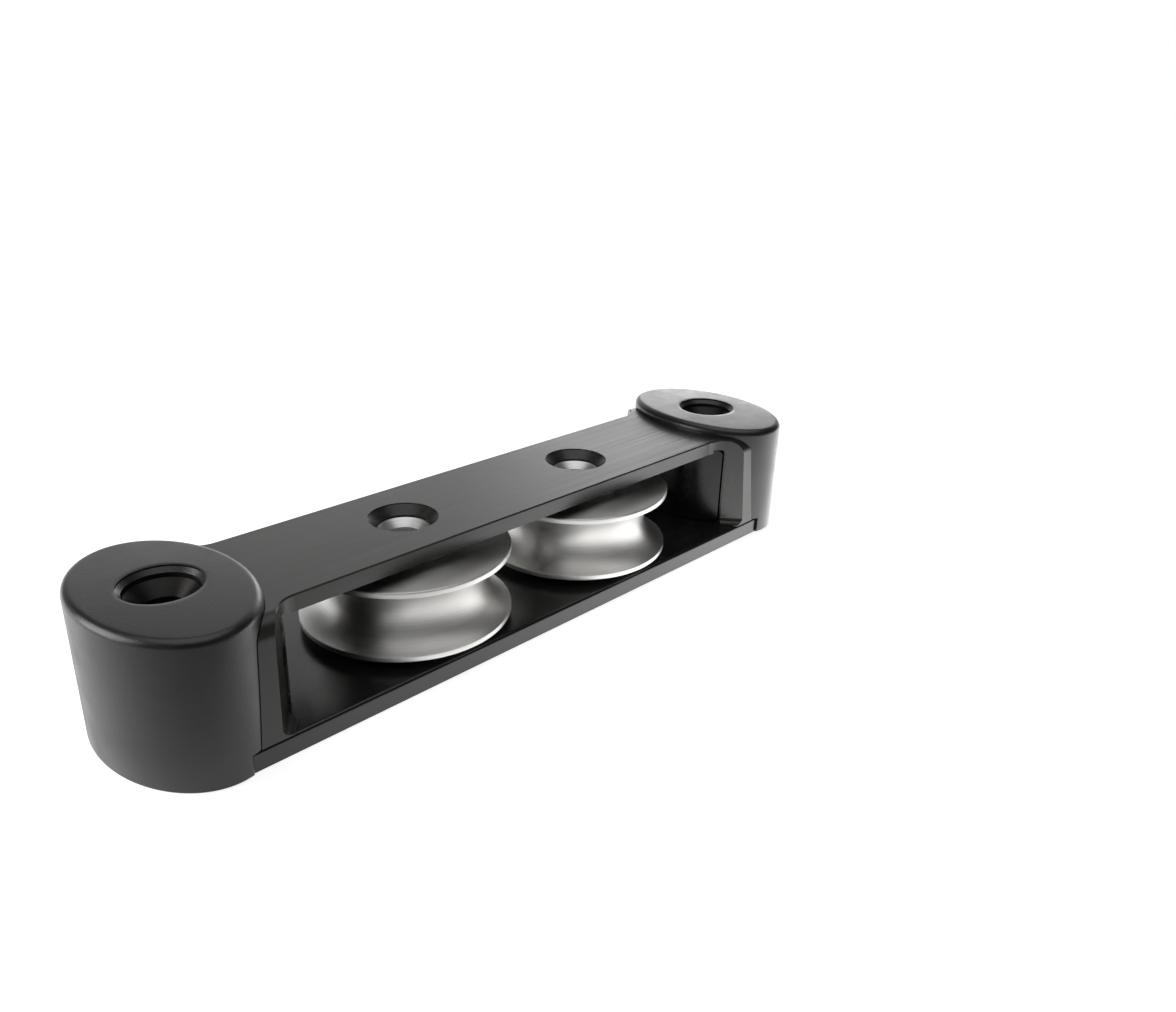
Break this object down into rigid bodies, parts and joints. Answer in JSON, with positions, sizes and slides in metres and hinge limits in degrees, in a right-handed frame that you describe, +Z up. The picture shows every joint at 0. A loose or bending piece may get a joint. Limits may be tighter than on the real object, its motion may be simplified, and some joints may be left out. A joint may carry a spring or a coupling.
{
  "type": "rope deck organizer",
  "caption": "Low bar that turns control lines on a deck: grooved sheaves between a base plate and a machined top frame, with oval end caps and countersunk fixing holes in one line.",
  "frame": {"origin": "middle of the underside, on the centre line of the fixing holes", "axes": "+X along the bar, +Y towards the back, +Z up from the deck along the sheave axles"},
  "size_m": [0.2032, 0.05, 0.0329],
  "materials": {
    "base_bar": "black anodised, brushed along its length, with a smooth rounded front edge",
    "frame_bar": "black anodised, brushed along its length",
    "cap_shell": "satin black with a fine moulded grain",
    "bush_steel": "turned, dull inside",
    "cheek_plastic": "smooth satin, dark grey",
    "sheave_alloy": "turned and clear anodised, satin, with fine rings",
    "bearing_plastic": "plain bearing polymer",
    "axle_steel": "turned stainless steel, bright countersink",
    "washer_plastic": "plain bearing polymer",
    "screw_steel": "stainless steel"
  },
  "bodies": {
    "root": {"base_plate": "base_bar", "top_frame": "frame_bar", "end_cap_left": "cap_shell", "end_cap_right": "cap_shell", "end_bush_left": "bush_steel", "end_bush_right": "bush_steel", "wear_cheek_left": "cheek_plastic", "wear_cheek_right": "cheek_plastic", "axle_left": "axle_steel", "axle_right": "axle_steel", "thrust_washer_left_lower": "washer_plastic", "thrust_washer_left_upper": "washer_plastic", "thrust_washer_right_lower": "washer_plastic", "thrust_washer_right_upper": "washer_plastic", "cap_screws": "screw_steel"},
    "left_wheel": {"sheave_left": "sheave_alloy", "sheave_bearing_left": "bearing_plastic"},
    "right_wheel": {"sheave_right": "sheave_alloy", "sheave_bearing_right": "bearing_plastic"}
  },
  "joints": [
    {"name": "left_sheave_spin", "type": "hinge", "parent": "root", "child": "left_wheel", "pos_m": [-0.0284, 0, 0.01482], "axis": [0, 0, 1], "continuous": true},
    {"name": "right_sheave_spin", "type": "hinge", "parent": "root", "child": "right_wheel", "pos_m": [0.0284, 0, 0.01482], "axis": [0, 0, 1], "continuous": true}
  ]
}
